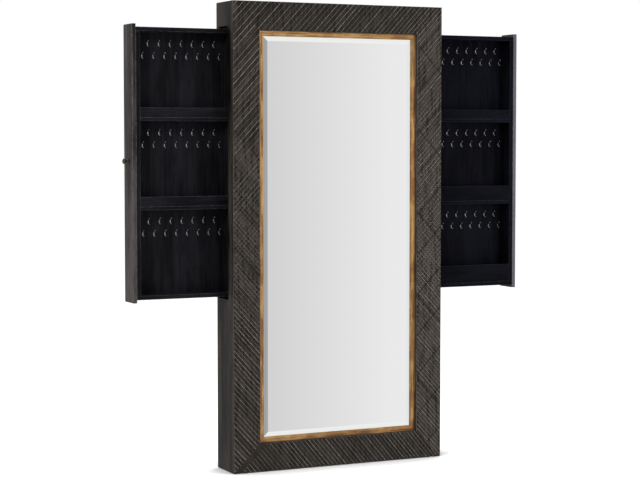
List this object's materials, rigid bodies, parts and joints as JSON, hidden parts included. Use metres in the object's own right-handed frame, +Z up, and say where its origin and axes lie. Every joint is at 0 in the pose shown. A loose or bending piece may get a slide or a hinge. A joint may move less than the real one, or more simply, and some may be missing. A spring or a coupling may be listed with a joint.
{
  "type": "floor mirror",
  "caption": "Full-length floor mirror in a scored dark wood frame with a gilt liner; jewellery trays with hooks and shelves slide out of both sides of its shallow case.",
  "frame": {"origin": "on the floor, under the middle of the case", "axes": "+Z up, the glass faces -Y, +X to the right seen from the front"},
  "size_m": [1.982, 0.19, 2.083],
  "materials": {
    "scored_wood": "near-black brown stain, scored",
    "case_wood": "near-black brown stain, straight grain",
    "tray_wood": "black lacquer with a blue cast, satin",
    "gilt": "antique gold leaf on timber, worn",
    "mirror": "silvered, bevelled",
    "plain_board": "raw fibreboard and pine",
    "slide_steel": "zinc plated",
    "hook_metal": "nickel plated",
    "knob_metal": "dark bronze",
    "glide_plastic": "black nylon"
  },
  "bodies": {
    "case": {"frame_top_rail": "scored_wood", "frame_bottom_rail": "scored_wood", "frame_left_stile": "scored_wood", "frame_right_stile": "scored_wood", "liner_top": "gilt", "liner_bottom": "gilt", "liner_left": "gilt", "liner_right": "gilt", "mirror_glass": "mirror", "left_side_panel": "case_wood", "right_side_panel": "case_wood", "top_board": "case_wood", "bottom_board": "case_wood", "mirror_backing": "plain_board", "bay_floor": "tray_wood", "bay_ceiling": "tray_wood", "back_panel": "plain_board", "upper_slide_rail": "plain_board", "lower_slide_rail": "plain_board", "floor_glides": "glide_plastic", "left_fixed_channels": "slide_steel", "right_fixed_channels": "slide_steel"},
    "left_tray": {"left_end_panel": "case_wood", "left_knob": "knob_metal", "left_tray_outer_side": "tray_wood", "left_tray_inner_side": "tray_wood", "left_tray_top": "tray_wood", "left_tray_bottom": "tray_wood", "left_hook_panel": "tray_wood", "left_upper_shelf": "tray_wood", "left_middle_shelf": "tray_wood", "left_upper_lip": "tray_wood", "left_middle_lip": "tray_wood", "left_upper_hooks": "hook_metal", "left_middle_hooks": "hook_metal", "left_lower_hooks": "hook_metal", "left_moving_channels": "slide_steel"},
    "right_tray": {"right_end_panel": "case_wood", "right_knob": "knob_metal", "right_tray_outer_side": "tray_wood", "right_tray_inner_side": "tray_wood", "right_tray_top": "tray_wood", "right_tray_bottom": "tray_wood", "right_hook_panel": "tray_wood", "right_upper_shelf": "tray_wood", "right_middle_shelf": "tray_wood", "right_upper_lip": "tray_wood", "right_middle_lip": "tray_wood", "right_upper_hooks": "hook_metal", "right_middle_hooks": "hook_metal", "right_lower_hooks": "hook_metal", "right_moving_channels": "slide_steel", "right_lower_lip": "tray_wood"},
    "left_slide_middle": {"left_middle_channels": "slide_steel"},
    "right_slide_middle": {"right_middle_channels": "slide_steel"}
  },
  "joints": [
    {"name": "left_tray_slide", "type": "slide", "parent": "case", "child": "left_tray", "axis": [-1, 0, 0], "range_m": [-0.4425, 0]},
    {"name": "right_tray_slide", "type": "slide", "parent": "case", "child": "right_tray", "axis": [1, 0, 0], "range_m": [-0.4425, 0]},
    {"name": "left_middle_slide", "type": "slide", "parent": "case", "child": "left_slide_middle", "axis": [-1, 0, 0], "range_m": [-0.22125, 0]},
    {"name": "right_middle_slide", "type": "slide", "parent": "case", "child": "right_slide_middle", "axis": [1, 0, 0], "range_m": [-0.22125, 0]}
  ],
  "couplings": [
    {"joint": "left_middle_slide", "follows": "left_tray_slide", "ratio": 0.5},
    {"joint": "right_middle_slide", "follows": "right_tray_slide", "ratio": 0.5}
  ]
}
